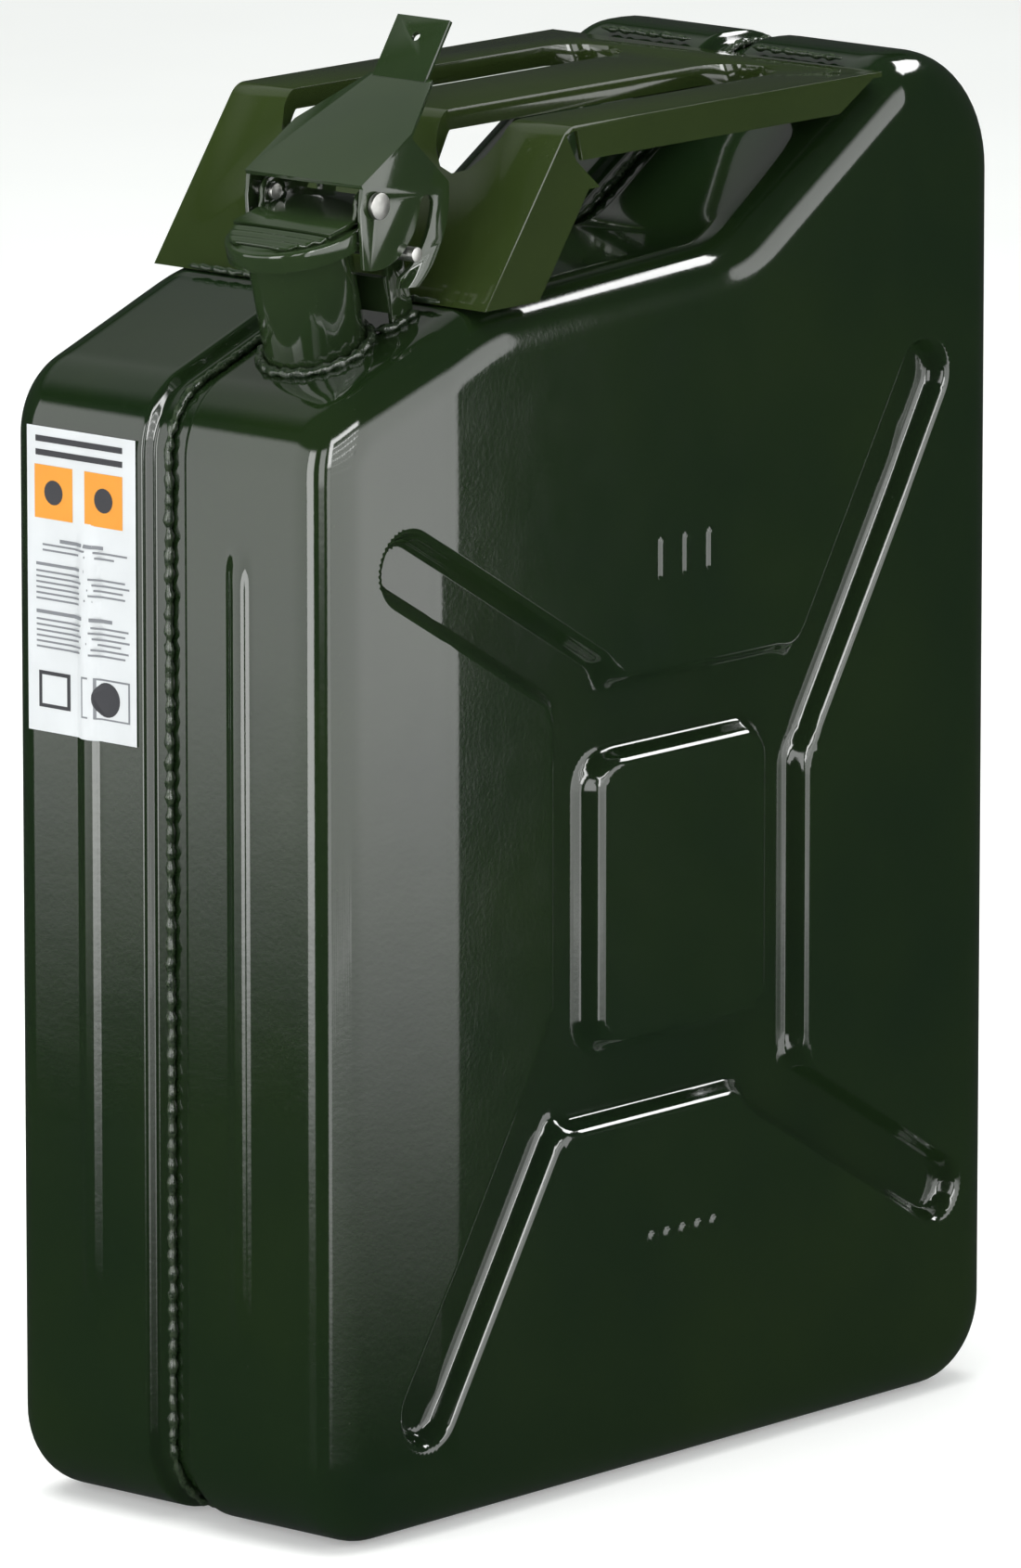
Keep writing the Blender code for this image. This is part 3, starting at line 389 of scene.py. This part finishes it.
def build_shell(name, node, side):
    ys = np.unique(np.concatenate([np.arange(0, 12.1, 0.7), np.linspace(12.1, 58.0, 40)]))
    verts, faces, rows = [], [], []

    def row(points, ys_of):
        start = len(verts)
        for p, y in zip(points, ys_of):
            verts.append(((p[0] - L / 2) * MM, side * y * MM, p[1] * MM))
        rows.append(list(range(start, len(verts))))

    plain = outline(0.0)
    tangent = np.roll(plain, -1, axis=0) - np.roll(plain, 1, axis=0)
    tangent /= np.linalg.norm(tangent, axis=1)[:, None]
    inward = np.stack([-tangent[:, 1], tangent[:, 0]], axis=1)
    on_front = plain[:, 0] < 0.4
    for y in ys:
        lift = rib_lift(np.full(len(plain), y), plain[:, 1]) * on_front
        points = outline(float(channel(np.array(y)))) - inward * lift[:, None]
        row(points, np.full(len(plain), y))
    for k in range(1, 15):
        a = math.pi / 2 * k / 14
        points = outline(EDGE_R * (1 - math.cos(a)))
        y = T / 2 - EDGE_R + EDGE_R * math.sin(a)
        fade = sstep(np.array(k / 14.0))
        height = face_height(points[:, 0], points[:, 1]) * fade
        row(points, y - height)
    count = len(plain)
    for a, b in zip(rows, rows[1:]):
        for i in range(count):
            j = (i + 1) % count
            quad = (a[i], a[j], b[j], b[i])
            faces.append(quad if side < 0 else quad[::-1])
    # broad face: a fine grid joined to the last row
    rim = outline(EDGE_R)
    cell = 2.2
    uu, zz = np.meshgrid(np.arange(EDGE_R, L - EDGE_R, cell), np.arange(EDGE_R, H - EDGE_R, cell))
    cand = np.stack([uu.ravel(), zz.ravel()], axis=1)
    own = press_points()
    cand = np.concatenate([cand[pattern_free(cand[:, 0], cand[:, 1])], own])
    for cu, cz in ((177.0, 315.0), (177.0, 82.0)):
        gu, gz = np.meshgrid(np.arange(cu - 21, cu + 21, 0.7), np.arange(cz - 9, cz + 9, 0.7))
        inside = (np.abs(cand[:, 0] - cu) < 21.5) & (np.abs(cand[:, 1] - cz) < 9.5)
        cand = np.concatenate([cand[~inside], np.stack([gu.ravel(), gz.ravel()], axis=1)])
    x0, z0 = rim[:, 0], rim[:, 1]
    x1, z1 = np.roll(x0, -1), np.roll(z0, -1)
    keep = np.zeros(len(cand), bool)
    for chunk in np.array_split(np.arange(len(cand)), 30):
        p = cand[chunk]
        dx, dz = x1 - x0, z1 - z0
        t = np.clip(((p[:, 0:1] - x0) * dx + (p[:, 1:2] - z0) * dz) / (dx * dx + dz * dz + 1e-12), 0, 1)
        dist = np.hypot(p[:, 0:1] - x0 - t * dx, p[:, 1:2] - z0 - t * dz).min(axis=1)
        cross = (((z0 > p[:, 1:2]) != (z1 > p[:, 1:2]))
                 & (p[:, 0:1] < (x1 - x0) * (p[:, 1:2] - z0) / (z1 - z0 + 1e-12) + x0))
        keep[chunk] = (cross.sum(axis=1) % 2 == 1) & (dist > 1.1)
    grid = cand[keep]
    coords = [Vector(p) for p in rim] + [Vector(p) for p in grid]
    edges = [(i, (i + 1) % count) for i in range(count)]
    result = delaunay_2d_cdt(coords, edges, [], 1, 1e-5)
    start = len(verts)
    base = start - count
    lookup = {}
    for k, (p, sources) in enumerate(zip(result[0], result[3])):
        near = [s for s in sources if s < count]
        if near:
            lookup[k] = base + near[0]
        else:
            lookup[k] = len(verts)
            h = float(face_height(np.array(p[0]), np.array(p[1])))
            verts.append(((p[0] - L / 2) * MM, side * (T / 2 - h) * MM, p[1] * MM))
    for tri in result[2]:
        f = [lookup[i] for i in tri]
        if len(set(f)) > 2:
            faces.append(f if side < 0 else f[::-1])
    # open the shell under the neck
    if side < 0:
        centre = np.array(NECK_FOOT)
        axis = np.array(NECK_DIR)
        v = np.array(verts)
        rel = v - centre
        h = rel @ axis
        radial = np.linalg.norm(rel - h[:, None] * axis, axis=1)
        gone = (radial < 0.0165) & (np.abs(h) < 0.02)
        faces = [f for f in faces if not all(gone[i] for i in f)]
    made = add(name, verts, faces, BODY_ENAMEL)
    work = bmesh.new()
    work.from_mesh(made.data)
    bmesh.ops.recalc_face_normals(work, faces=work.faces)
    top = max(work.verts, key=lambda q: q.co.z)
    if top.normal.z < 0:
        bmesh.ops.reverse_faces(work, faces=work.faces)
    work.to_mesh(made.data)
    work.free()
    made.data.shade_smooth()
    # smooth normals of the broad face straight from its height function
    v = np.array([q.co for q in made.data.vertices])
    n = np.array([q.normal for q in made.data.vertices])
    u, z = v[:, 0] / MM + L / 2, v[:, 2] / MM
    e = 0.25
    gu = (face_height(u + e, z) - face_height(u - e, z)) / (2 * e)
    gz = (face_height(u, z + e) - face_height(u, z - e)) / (2 * e)
    flat = np.stack([gu, np.full(len(u), float(side)), gz], axis=1)
    flat /= np.linalg.norm(flat, axis=1)[:, None]
    deep = np.arange(len(v)) >= start
    n[deep] = flat[deep]
    made.data.normals_split_custom_set_from_vertices([tuple(x) for x in n])
    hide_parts(node)
    return made


build_shell("left_body_pressing", "left_shell", -1)
build_shell("right_body_pressing", "right_shell", 1)


# ------------------------------------------------------------ weld beads
def bead(name, path, radius, node, seed, closed=False, sides=10, lump=0.35, pitch=420.0, body="can"):
    """Lumpy bead along a dense path (metres); closed paths join up."""
    path = [Vector(p) for p in path]
    n = len(path)
    verts, faces = [], []
    travelled = 0.0
    for i, p in enumerate(path):
        ahead = path[(i + 1) % n] if closed or i < n - 1 else p
        behind = path[i - 1] if closed or i > 0 else p
        along = (ahead - behind).normalized()
        hint = Vector((0.13, 0.99, 0.05)) if abs(along.y) < 0.8 else Vector((1, 0, 0.1))
        side = along.cross(hint).normalized()
        up = side.cross(along).normalized()
        travelled += (p - behind).length if i else 0.0
        ripple = 1.0 + lump * 0.45 * math.sin(travelled * pitch * 2.4 + seed)
        for k in range(sides):
            a = 2 * math.pi * k / sides
            d = side * math.cos(a) + up * math.sin(a)
            blob = noise.noise((p + d * radius) * pitch + Vector((seed, 0, 0)))
            r = radius * (ripple * 0.86 + lump * blob)
            if not closed:
                end = min(i, n - 1 - i)
                r *= min(1.0, 0.25 + 0.3 * end)
            verts.append(p + d * r)
    count = n if closed else n - 1
    for i in range(count):
        j = (i + 1) % n
        for k in range(sides):
            m = (k + 1) % sides
            faces.append((i * sides + k, i * sides + m, j * sides + m, j * sides + k))
    if not closed:
        faces.append(tuple(range(sides))[::-1])
        faces.append(tuple((n - 1) * sides + k for k in range(sides)))
    made = add(name, verts, faces, WELD_ENAMEL, body)
    if node:
        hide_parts(node)
    return made


def dense(path, step):
    out = []
    for a, b in zip(path, path[1:]):
        a, b = Vector(a), Vector(b)
        n = max(1, int((b - a).length / step))
        out += [a.lerp(b, k / n) for k in range(n)]
    return out + [Vector(path[-1])]


seam = outline(CH_DEPTH - 1.3)
loop = [Vector(((u - L / 2) * MM, 0.0, z * MM)) for u, z in seam]
bead("seam_bead", dense(loop + [loop[0]], 0.0009)[:-1], 0.0017, "seam_weld", 3.0, closed=True, sides=8,
     lump=0.42)
LEAN = SHOULDER - TILT


def on_shoulder(along, across, rise):
    """A point over the shoulder, in the neck's frame (mm)."""
    return neck_at(along * math.cos(LEAN) - rise * math.sin(LEAN), across,
                   along * math.sin(LEAN) + rise * math.cos(LEAN))


ring = [on_shoulder(18.7 * math.cos(t), 18.7 * math.sin(t), 1.1) for t in np.linspace(0, 2 * math.pi, 181)[:-1]]
bead("neck_bead", ring, 0.0019, "neck_weld", 8.0, closed=True, lump=0.5)

for k, y in enumerate((17.0, -17.0)):
    foot = dense([on_shoulder(15.0, y * 0.75, 1.3), on_shoulder(19.0, y + math.copysign(1.8, y), 1.0),
                  on_shoulder(31.5, y + math.copysign(2.0, y), 1.0)], 0.0009)
    bead("bracket_bead_%d" % k, foot, 0.0016, None, 21.0 + k, lump=0.6)


for word in ("left", "right"):
    for place in ("rear", "foot"):
        node = "handle_%s_weld_%s" % (place, word)
        low, high = [Vector(corner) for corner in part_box(node)]
        mid = (low + high) / 2
        line = dense([(mid.x, low.y, mid.z), (mid.x, high.y, mid.z)], 0.0009)
        bead(node.replace("weld", "bead"), line, 0.0012, node, 5.0 + len(word), lump=0.45)


# ------------------------------------------------------------ label
FRONT = -L / 2


def label_point(y, z, off):
    lift = float(rib_lift(np.array(y), np.array(z)))
    return ((FRONT - lift - off) * MM, y * MM, z * MM)


def patch(quads, off, nu=10):
    """Grid patches over the label; each is (y0, y1, z0, z1)."""
    verts, faces = [], []
    for y0, y1, z0, z1 in quads:
        nz = max(1, int(abs(z1 - z0) / 4))
        base = len(verts)
        for i in range(nu + 1):
            for j in range(nz + 1):
                verts.append(label_point(y0 + (y1 - y0) * i / nu, z0 + (z1 - z0) * j / nz, off))
        for i in range(nu):
            for j in range(nz):
                a = base + i * (nz + 1) + j
                faces.append((a, a + 1, a + nz + 2, a + nz + 1))
    return verts, faces


Y0, Y1, Z0, Z1 = 12.0, 61.0, 264.0, 367.0
W = Y1 - Y0


def at(fy, fz):
    """Label place from fractions: 0,0 is its upper corner away from the seam."""
    return Y1 - fy * W, Z1 - fz * (Z1 - Z0)


def q(f0, f1, g0, g1):
    ya, za = at(f0, g0)
    yb, zb = at(f1, g1)
    return (yb, ya, zb, za)


def label_piece(name, quads, off, material):
    verts, faces = patch(quads, off, 36 if name == "label_sheet" else 8)
    made = add(name, verts, faces, material)
    work = bmesh.new()
    work.from_mesh(made.data)
    bmesh.ops.recalc_face_normals(work, faces=work.faces)
    for f in work.faces:
        if f.normal.x > 0:
            f.normal_flip()
    work.to_mesh(made.data)
    work.free()
    return made


sheet = label_piece("label_sheet", [q(0, 1, 0, 1)], 0.45, LABEL_WHITE)
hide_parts("label")
label_piece("label_colour_blocks", [q(0.07, 0.42, 0.125, 0.30), q(0.53, 0.88, 0.125, 0.30)], 0.52,
            LABEL_ORANGE)
bars = [q(0.08, 0.88, 0.030, 0.050), q(0.08, 0.88, 0.075, 0.095)]
label_piece("label_title_bars", bars, 0.52, LABEL_INK)
fine_bars = [q(0.30, 0.70, 0.362, 0.374), q(0.08, 0.55, 0.445, 0.455), q(0.08, 0.78, 0.600, 0.612)]
for k, (g, end) in enumerate(((0.382, 0.92), (0.400, 0.80), (0.470, 0.90), (0.488, 0.94), (0.506, 0.88),
                              (0.524, 0.90), (0.542, 0.62), (0.560, 0.48), (0.628, 0.93), (0.646, 0.90),
                              (0.664, 0.94), (0.682, 0.86), (0.700, 0.93), (0.718, 0.90))):
    fine_bars.append(q(0.08 if k > 1 else 0.14, end, g, g + 0.0065))
label_piece("label_text_bars", fine_bars, 0.52, LABEL_GREY)


def label_polygon(name, shapes, off, material):
    """Flat shapes on the label from lists of fractions."""
    verts, faces = [], []
    for shape in shapes:
        base = len(verts)
        verts += [label_point(*at(f, g), off) for f, g in shape]
        faces.append(tuple(range(base, len(verts))))
    made = add(name, verts, faces, material, smooth=False)
    return made


def circle(cf, cg, rf, n=20):
    k = W / (Z1 - Z0)
    return [(cf + rf * math.cos(2 * math.pi * i / n), cg + rf * k * math.sin(2 * math.pi * i / n))
            for i in range(n)]


label_polygon("label_block_discs", [circle(0.245, 0.2125, 0.085), circle(0.705, 0.2125, 0.085)], 0.58,
              LABEL_INK)
label_piece("label_foot_square", [q(0.10, 0.39, 0.80, 0.92)], 0.52, LABEL_INK)
label_piece("label_foot_square_inner", [q(0.13, 0.36, 0.8125, 0.9075)], 0.58, LABEL_WHITE)
label_piece("label_foot_block", [q(0.52, 0.94, 0.795, 0.93)], 0.52, LABEL_GREY)
label_piece("label_foot_block_inner", [q(0.535, 0.925, 0.801, 0.924)], 0.58, LABEL_WHITE)
label_polygon("label_foot_disc", [circle(0.73, 0.862, 0.12, 28)], 0.64, LABEL_INK)


# ------------------------------------------------------------ carried-over CAD pieces
def finish_node(name, material, bevel=0.0, segments=2):
    made = nodes[name]
    made.data.materials.clear()
    made.data.materials.append(material)
    made.data.shade_smooth()
    if bevel:
        weld = made.modifiers.new("weld", "WELD")
        weld.merge_threshold = 0.00001
        step = made.modifiers.new("bevel", "BEVEL")
        step.width = bevel
        step.segments = segments
        step.limit_method = "ANGLE"
        step.angle_limit = math.radians(35)
        step.harden_normals = True
    made.data.set_sharp_from_angle(angle=math.radians(40))
    return made


# the handle takes the lighter enamel copy, painted light for its lit top
finish_node("handle", LIT_TOP_ENAMEL, 0.0006, 3)
finish_node("neck_tube", CAP_ENAMEL, 0.0003)


def turned(name, profile, material, body, node, steps=72):
    """Closed turned piece about the neck axis from a closed (radius, height) outline, mm."""
    verts, faces = [], []
    m = len(profile)
    for k in range(steps):
        t = 2 * math.pi * k / steps
        verts += [neck_at(r * math.cos(t), r * math.sin(t), h) for r, h in profile]
    for k in range(steps):
        j = (k + 1) % steps
        for i in range(m):
            n = (i + 1) % m
            faces.append((k * m + i, j * m + i, j * m + n, k * m + n))
    made = add(name, verts, faces, material, body)
    work = bmesh.new()
    work.from_mesh(made.data)
    bmesh.ops.recalc_face_normals(work, faces=work.faces)
    work.to_mesh(made.data)
    work.free()
    made.data.set_sharp_from_angle(angle=math.radians(50))
    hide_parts(node)
    return made


# lid: rim band, small step and flat top
CAP = [(2.6, 42.7), (21.9, 42.7), (22.1, 42.4), (22.1, 36.6), (22.3, 36.3), (23.2, 36.3), (23.5, 36.6),
       (23.5, 42.0), (23.3, 42.6), (22.7, 43.0), (21.6, 43.1), (21.0, 43.4), (20.4, 44.0), (2.6, 44.0)]
turned("lid_pressing", CAP, CAP_ENAMEL, "lid", "lid_cap")


def strip_solid(name, rows, thickness, material, body, bevel=0.0003):
    """Bent sheet: rows of points (metres) joined into a surface, given its thickness."""
    verts = [p for r in rows for p in r]
    m = len(rows[0])
    faces = [(i * m + j, i * m + j + 1, (i + 1) * m + j + 1, (i + 1) * m + j)
             for i in range(len(rows) - 1) for j in range(m - 1)]
    made = add(name, verts, faces, material, body)
    solid = made.modifiers.new("sheet", "SOLIDIFY")
    solid.thickness = thickness
    solid.offset = 0.0
    step = made.modifiers.new("edge", "BEVEL")
    step.width = bevel
    step.segments = 2
    step.limit_method = "ANGLE"
    step.angle_limit = math.radians(50)
    return made


# ridges of the lid's top; they end before the yoke plate, clear of the lever's swing
rows = []
for i in range(33):
    f = i / 32
    along = -19.5 + 12.7 * f
    half = min(20.5, math.sqrt(max(21.6 ** 2 - along ** 2, 4.0)))
    rise = 44.40 + 0.35 * math.cos(2 * math.pi * (along + 19.5) / 4.2)
    rows.append([neck_at(along, -half + 2 * half * j / 16, rise - 0.35 * (abs(j - 8) / 8) ** 4)
                 for j in range(17)])
strip_solid("lid_ridges", rows, 0.0009, CAP_ENAMEL, "lid")
finish_node("lid_yoke", CAP_ENAMEL, 0.0003)
finish_node("closure_lever", CAP_ENAMEL, 0.0004, 3)
finish_node("hinge_bracket", CAP_ENAMEL, 0.0003)
for name in ("hinge_pin", "lever_rivet_left", "lever_rivet_right"):
    finish_node(name, ZINC, 0.0004, 3)
finish_node("gasket_retainer", TIN, 0.0003)
finish_node("retainer_rivet", TIN, 0.0003)
finish_node("breather_tube", TIN)
finish_node("lid_gasket", RUBBER, 0.0004, 3)


# ------------------------------------------------------------ floor, light, camera
CARD_RADIUS = 3.0
CARD_HEIGHT = 0.25
CARD_STEPS = (16, 8)


def emission(name, strength, fade):
    """Glow of a reflection card, fading towards its edges."""
    made = bpy.data.materials.new(name)
    made.use_nodes = True
    tree = made.node_tree
    tree.nodes.clear()
    out = tree.nodes.new("ShaderNodeOutputMaterial")
    glow = tree.nodes.new("ShaderNodeEmission")
    glow.inputs["Color"].default_value = (1, 1, 1, 1)
    glow.inputs["Strength"].default_value = strength
    tree.links.new(glow.outputs[0], out.inputs[0])
    uv = tree.nodes.new("ShaderNodeUVMap")
    split = tree.nodes.new("ShaderNodeSeparateXYZ")
    tree.links.new(uv.outputs[0], split.inputs[0])
    eased = []
    for axis, edge, most in zip("XY", fade, (strength, 1.0)):
        fold = tree.nodes.new("ShaderNodeMath")
        fold.operation = "PINGPONG"
        fold.inputs[1].default_value = 0.5
        tree.links.new(split.outputs[axis], fold.inputs[0])
        ease = tree.nodes.new("ShaderNodeMapRange")
        ease.interpolation_type = "SMOOTHSTEP"
        ease.inputs["From Max"].default_value = edge
        ease.inputs["To Max"].default_value = most
        tree.links.new(fold.outputs[0], ease.inputs["Value"])
        eased.append(ease.outputs[0])
    product = tree.nodes.new("ShaderNodeMath")
    product.operation = "MULTIPLY"
    tree.links.new(eased[0], product.inputs[0])
    tree.links.new(eased[1], product.inputs[1])
    tree.links.new(product.outputs[0], glow.inputs["Strength"])
    return made


def card(name, az0, az1, el0, el1, strength, fade=(0.04, 0.12)):
    """Curved softbox seen only in reflections; angles are of its place round the can, 0 at +X and 90 at +Y."""
    na, ne = CARD_STEPS
    verts, faces, uvs = [], [], []
    for i in range(na + 1):
        for j in range(ne + 1):
            a = math.radians(az0 + (az1 - az0) * i / na)
            e = math.radians(el0 + (el1 - el0) * j / ne)
            verts.append((CARD_RADIUS * math.cos(a) * math.cos(e), CARD_RADIUS * math.sin(a) * math.cos(e),
                          CARD_HEIGHT + CARD_RADIUS * math.sin(e)))
            uvs.append((i / na, j / ne))
    for i in range(na):
        for j in range(ne):
            a = i * (ne + 1) + j
            faces.append((a, a + 1, a + ne + 2, a + ne + 1))
    made = add(name, verts, faces, emission(name + "_glow", strength, fade), None)
    layer = made.data.uv_layers.new(name="UVMap")
    for item in made.data.loops:
        layer.data[item.index].uv = uvs[item.vertex_index]
    made.visible_camera = False
    made.visible_diffuse = False
    made.visible_shadow = False


card("card_side", -118, -45.4, -19, 30, 2.1, fade=(0.012, 0.2))
card("card_key_low", -128, -74, -18, 12, 2.6)
card("card_key_high", -128, -72, 4, 38, 9.0)
card("card_front", 128, 176, -14.5, 30, 1.5)
card("card_edge", 176, 196, -16, 30, 5.0)
card("card_lens_side", -150, -134, -10, 30, 3.0)
card("card_crest", -28, 6, 34, 48, 9.0)
card("card_top", 20, 130, 30, 80, 0.28, fade=(0.2, 0.3))

floor_mat = Graph("floor_paper")
floor_tint = floor_mat.ramp(floor_mat.noise(3.0), (0.3, (0.86, 0.86, 0.85)), (0.7, (0.90, 0.90, 0.89)))
floor_mat.set(Base_Color=floor_tint, Roughness=0.9, Emission_Color=(1.0, 1.0, 1.0, 1.0), Emission_Strength=0.30)
FLOOR_HALF, FLOOR_Z = 30, -0.0006
floor_corners = [(x * FLOOR_HALF, y * FLOOR_HALF, FLOOR_Z) for x, y in ((-1, -1), (1, -1), (1, 1), (-1, 1))]
floor = add("floor", floor_corners, [(0, 1, 2, 3)], floor_mat.material, None)
floor.visible_glossy = False


def area(name, place, aim, size, power):
    light = bpy.data.lights.new(name, "AREA")
    light.shape = "RECTANGLE"
    light.size, light.size_y = size
    light.energy = power
    made = bpy.data.objects.new(name, light)
    bpy.context.scene.collection.objects.link(made)
    made.location = place
    made.rotation_euler = (Vector(aim) - Vector(place)).to_track_quat("-Z", "Y").to_euler()
    made.visible_glossy = False


area("light_top", (-0.3, 0.2, 2.6), (0, 0, 0.3), (2.4, 2.4), 62)
area("light_left", (-2.8, 0.3, 1.2), (0, 0, 0.3), (1.8, 1.8), 26)
area("light_near", (0.2, -3.0, 1.6), (0, 0, 0.25), (2.2, 2.0), 18)

world = bpy.data.worlds.new("studio")
bpy.context.scene.world = world
world.use_nodes = True
wt = world.node_tree
wt.nodes.clear()
wout = wt.nodes.new("ShaderNodeOutputWorld")
mix = wt.nodes.new("ShaderNodeMixShader")
path = wt.nodes.new("ShaderNodeLightPath")
seen = wt.nodes.new("ShaderNodeBackground")
seen.inputs[0].default_value = (0.96, 0.97, 0.97, 1)
seen.inputs[1].default_value = 1.0
felt = wt.nodes.new("ShaderNodeBackground")
felt.inputs[0].default_value = (0.95, 1.0, 0.97, 1)
felt.inputs[1].default_value = 0.55
dim = wt.nodes.new("ShaderNodeBackground")
dim.inputs[0].default_value = (0.9, 1.0, 0.95, 1)
dim.inputs[1].default_value = 0.035
gloss = wt.nodes.new("ShaderNodeMixShader")
wt.links.new(path.outputs["Is Glossy Ray"], gloss.inputs[0])
wt.links.new(felt.outputs[0], gloss.inputs[1])
wt.links.new(dim.outputs[0], gloss.inputs[2])
wt.links.new(path.outputs["Is Camera Ray"], mix.inputs[0])
wt.links.new(gloss.outputs[0], mix.inputs[1])
wt.links.new(seen.outputs[0], mix.inputs[2])
wt.links.new(mix.outputs[0], wout.inputs[0])

AZ, EL = math.radians(-48.658), math.radians(11.596)
back = Vector((math.sin(AZ) * math.cos(EL), -math.cos(AZ) * math.cos(EL), math.sin(EL)))
right = Vector((math.cos(AZ), math.sin(AZ), 0))
up = back.cross(right)
camera_data = bpy.data.cameras.new("camera")
camera = bpy.data.objects.new("camera", camera_data)
bpy.context.scene.collection.objects.link(camera)
CAMERA_AIM = Vector((0, 0.0075, 0.235))
CAMERA_DISTANCE = 4.730
camera_place = CAMERA_AIM + back * CAMERA_DISTANCE + right * 0.00586 - up * 0.00913
camera.matrix_world = Matrix.Translation(camera_place) @ Matrix((right, up, back)).transposed().to_4x4()
camera_data.sensor_fit = "AUTO"
camera_data.sensor_width = 36.0
camera_data.lens = 14992.6 / 1690 * 36.0
bpy.context.scene.camera = camera
bpy.context.scene.view_settings.view_transform = "Standard"
